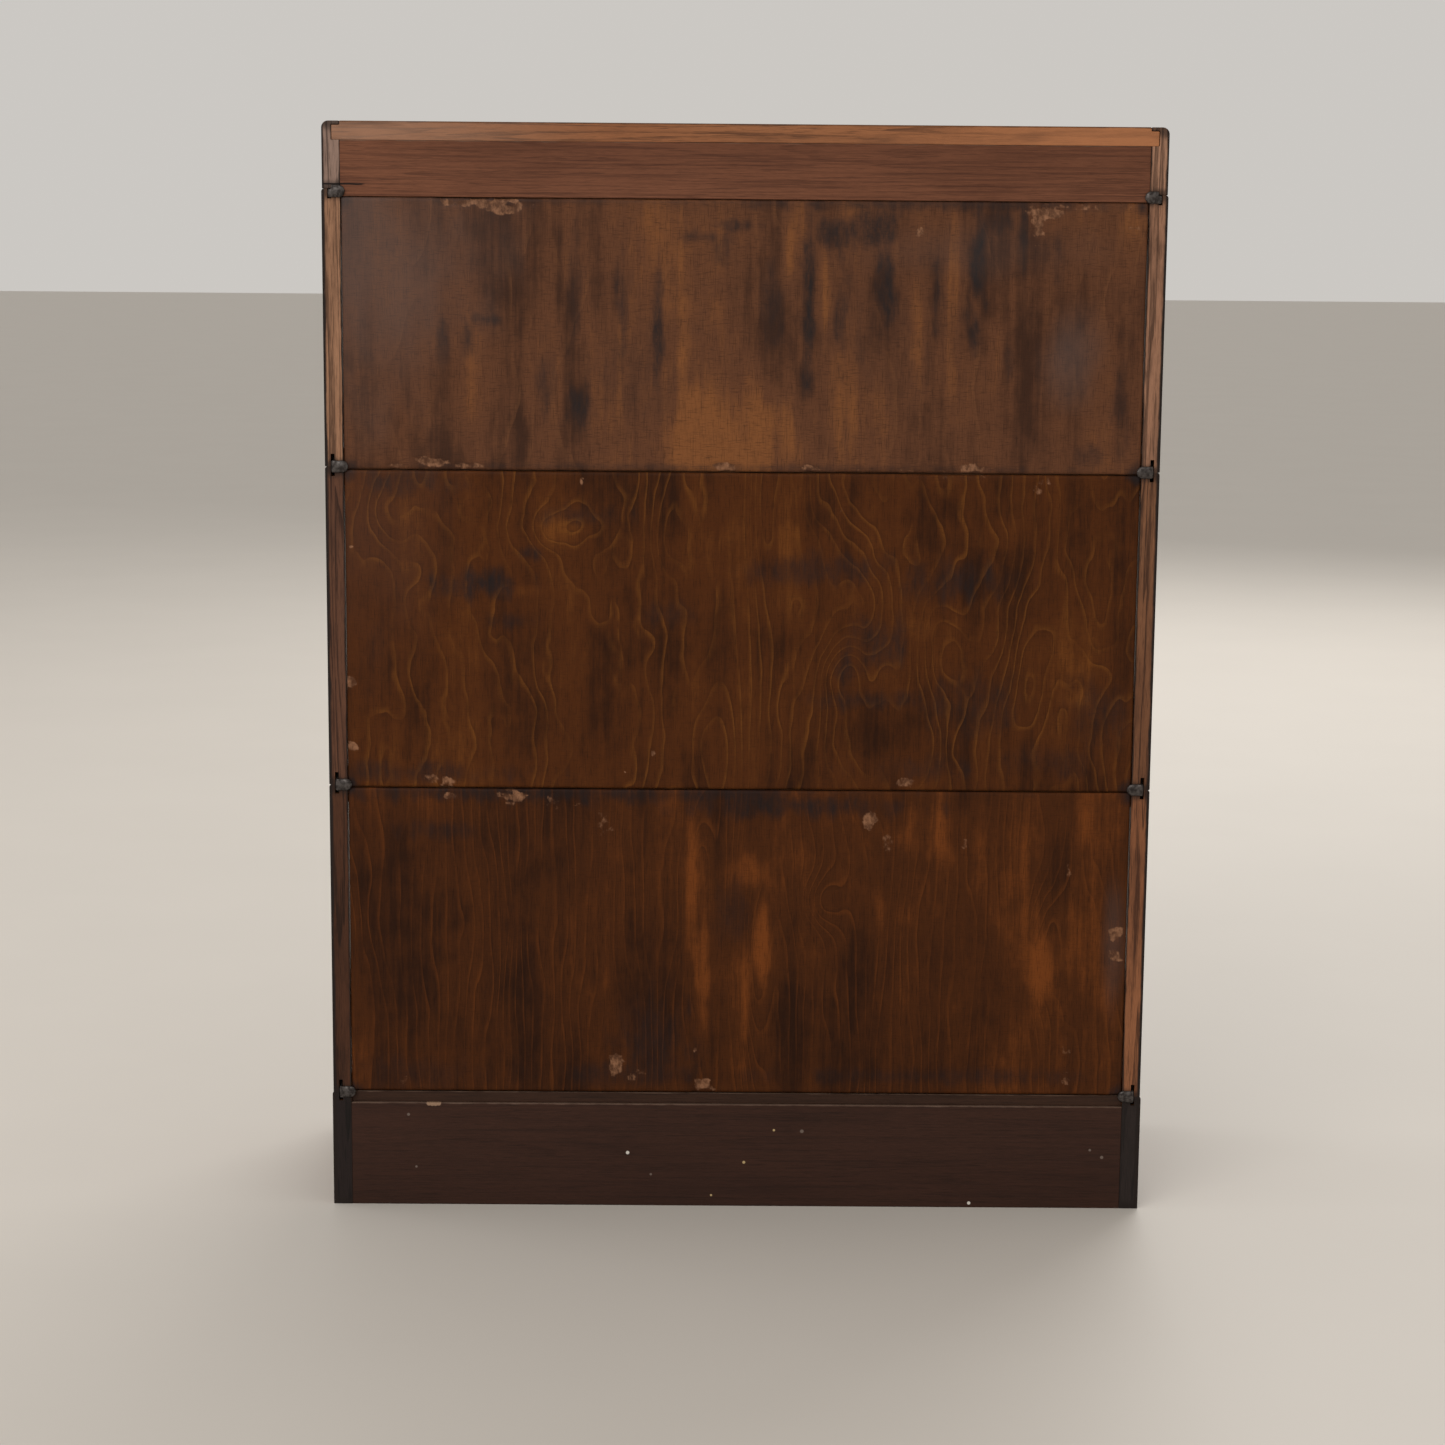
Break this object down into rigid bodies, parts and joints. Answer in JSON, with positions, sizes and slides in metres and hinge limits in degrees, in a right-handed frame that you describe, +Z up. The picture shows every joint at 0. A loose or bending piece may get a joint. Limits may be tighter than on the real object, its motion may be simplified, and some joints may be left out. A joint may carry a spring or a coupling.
{
  "type": "barrister bookcase",
  "caption": "Oak sectional bookcase: moulded base, stacked book sections with lift-and-slide glazed doors on scissor equalisers, and a moulded top, joined by steel straps.",
  "frame": {"origin": "floor level, middle of the width and of the overall depth", "axes": "+Z up; the front with its doors faces -Y and the back panels face +Y; +X is to the right seen from the front"},
  "size_m": [0.866, 0.319, 1.145],
  "materials": {
    "oak_case": "satin",
    "oak_top": "satin",
    "oak_base": "satin",
    "oak_door": "satin",
    "panel_ply": "satin",
    "glass": "clear",
    "brass": "aged",
    "strap_steel": "blackened",
    "equaliser_steel": "dull"
  },
  "bodies": {
    "case": {"base_back_board": "oak_base", "base_deck": "oak_base", "base_end_left": "oak_base", "base_end_right": "oak_base", "base_plinth": "oak_base", "joining_straps": "strap_steel", "lower_back_panel": "panel_ply", "lower_back_rail": "oak_case", "lower_end_left": "oak_case", "lower_end_right": "oak_case", "lower_front_rail": "oak_case", "lower_shelf": "oak_case", "lower_steel_pins": "equaliser_steel", "middle_back_panel": "panel_ply", "middle_back_rail": "oak_case", "middle_end_left": "oak_case", "middle_end_right": "oak_case", "middle_front_rail": "oak_case", "middle_shelf": "oak_case", "middle_steel_pins": "equaliser_steel", "top_back_rail": "oak_top", "top_board": "oak_top", "top_cornice": "oak_top", "top_end_left": "oak_top", "top_end_right": "oak_top", "upper_back_panel": "panel_ply", "upper_back_rail": "oak_case", "upper_end_left": "oak_case", "upper_end_right": "oak_case", "upper_front_rail": "oak_case", "upper_shelf": "oak_case", "upper_steel_pins": "equaliser_steel"},
    "lower_carriage": {"lower_equaliser_bar": "equaliser_steel"},
    "lower_rail_arm": {"lower_rail_arm": "equaliser_steel"},
    "lower_bar_arm": {"lower_bar_arm": "equaliser_steel"},
    "lower_door": {"lower_door_stiles": "oak_door", "lower_door_top_rail": "oak_door", "lower_door_bottom_rail": "oak_door", "lower_door_glass": "glass", "lower_door_beads": "oak_door", "lower_door_knobs": "brass"},
    "middle_carriage": {"middle_equaliser_bar": "equaliser_steel"},
    "middle_rail_arm": {"middle_rail_arm": "equaliser_steel"},
    "middle_bar_arm": {"middle_bar_arm": "equaliser_steel"},
    "middle_door": {"middle_door_stiles": "oak_door", "middle_door_top_rail": "oak_door", "middle_door_bottom_rail": "oak_door", "middle_door_glass": "glass", "middle_door_beads": "oak_door", "middle_door_knobs": "brass"},
    "upper_carriage": {"upper_equaliser_bar": "equaliser_steel"},
    "upper_rail_arm": {"upper_rail_arm": "equaliser_steel"},
    "upper_bar_arm": {"upper_bar_arm": "equaliser_steel"},
    "upper_door": {"upper_door_stiles": "oak_door", "upper_door_top_rail": "oak_door", "upper_door_bottom_rail": "oak_door", "upper_door_glass": "glass", "upper_door_beads": "oak_door", "upper_door_knobs": "brass"}
  },
  "joints": [
    {"name": "lower_door_slide", "type": "slide", "parent": "case", "child": "lower_carriage", "axis": [0, 1, 0], "range_m": [0, 0.2375]},
    {"name": "lower_door_lift", "type": "hinge", "parent": "lower_carriage", "child": "lower_door", "pos_m": [0, -0.13, 0.432], "axis": [-1, 0, 0], "range_deg": [0, 90]},
    {"name": "lower_rail_arm_turn", "type": "hinge", "parent": "case", "child": "lower_rail_arm", "pos_m": [-0.28, 0.141, 0.436], "axis": [0, 0, 1], "range_deg": [0, 25.4]},
    {"name": "lower_bar_arm_turn", "type": "hinge", "parent": "lower_carriage", "child": "lower_bar_arm", "pos_m": [-0.28, -0.11, 0.434], "axis": [0, 0, -1], "range_deg": [0, 25.4]},
    {"name": "middle_door_slide", "type": "slide", "parent": "case", "child": "middle_carriage", "axis": [0, 1, 0], "range_m": [0, 0.2375]},
    {"name": "middle_door_lift", "type": "hinge", "parent": "middle_carriage", "child": "middle_door", "pos_m": [0, -0.13, 0.7665], "axis": [-1, 0, 0], "range_deg": [0, 90]},
    {"name": "middle_rail_arm_turn", "type": "hinge", "parent": "case", "child": "middle_rail_arm", "pos_m": [-0.28, 0.141, 0.7705], "axis": [0, 0, 1], "range_deg": [0, 25.4]},
    {"name": "middle_bar_arm_turn", "type": "hinge", "parent": "middle_carriage", "child": "middle_bar_arm", "pos_m": [-0.28, -0.11, 0.7685], "axis": [0, 0, -1], "range_deg": [0, 25.4]},
    {"name": "upper_door_slide", "type": "slide", "parent": "case", "child": "upper_carriage", "axis": [0, 1, 0], "range_m": [0, 0.186]},
    {"name": "upper_door_lift", "type": "hinge", "parent": "upper_carriage", "child": "upper_door", "pos_m": [0, -0.13, 1.0495], "axis": [-1, 0, 0], "range_deg": [0, 90]},
    {"name": "upper_rail_arm_turn", "type": "hinge", "parent": "case", "child": "upper_rail_arm", "pos_m": [-0.28, 0.141, 1.0535], "axis": [0, 0, 1], "range_deg": [0, 20.1]},
    {"name": "upper_bar_arm_turn", "type": "hinge", "parent": "upper_carriage", "child": "upper_bar_arm", "pos_m": [-0.28, -0.11, 1.0515], "axis": [0, 0, -1], "range_deg": [0, 20.1]}
  ],
  "couplings": [
    {"joint": "lower_rail_arm_turn", "follows": "lower_door_slide", "rad_per_m": 1.8539},
    {"joint": "lower_bar_arm_turn", "follows": "lower_door_slide", "rad_per_m": 1.8539},
    {"joint": "middle_rail_arm_turn", "follows": "middle_door_slide", "rad_per_m": 1.8539},
    {"joint": "middle_bar_arm_turn", "follows": "middle_door_slide", "rad_per_m": 1.8539},
    {"joint": "upper_rail_arm_turn", "follows": "upper_door_slide", "rad_per_m": 1.8715},
    {"joint": "upper_bar_arm_turn", "follows": "upper_door_slide", "rad_per_m": 1.8715}
  ]
}
